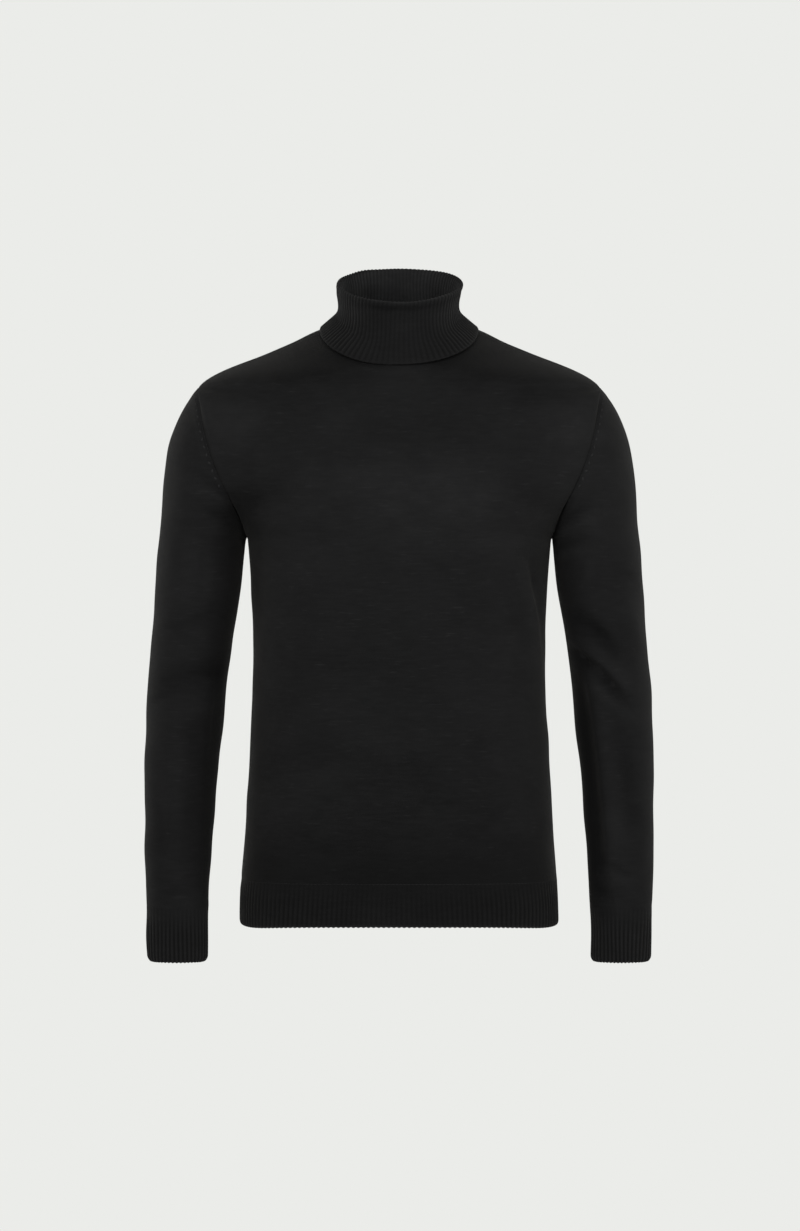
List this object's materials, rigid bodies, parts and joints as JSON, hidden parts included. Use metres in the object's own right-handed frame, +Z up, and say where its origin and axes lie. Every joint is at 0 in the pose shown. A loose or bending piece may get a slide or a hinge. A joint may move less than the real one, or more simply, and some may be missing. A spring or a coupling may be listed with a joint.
{
  "type": "turtleneck sweater",
  "caption": "Slim long-sleeved pullover in fine dark knit with a folded-down ribbed turtleneck, set-in sleeves, ribbed cuffs and a ribbed hem, filled out hollow.",
  "frame": {"origin": "middle of the neck at shoulder height, where the wearer's shoulders carry the sweater", "axes": "+Z up, -Y out of the front of the sweater, +X towards the wearer's left"},
  "size_m": [0.585, 0.2379, 0.8029],
  "materials": {
    "knit": "matt fine-gauge wool jersey with a slight fuzzy sheen",
    "rib": "matt fine-gauge wool rib, raised vertical ribs"
  },
  "bodies": {
    "root": {"front": "knit", "back": "knit", "sleeve_left": "knit", "sleeve_right": "knit", "collar": "rib", "hem_front": "rib", "hem_back": "rib", "cuff_left": "rib", "cuff_right": "rib"}
  },
  "joints": []
}
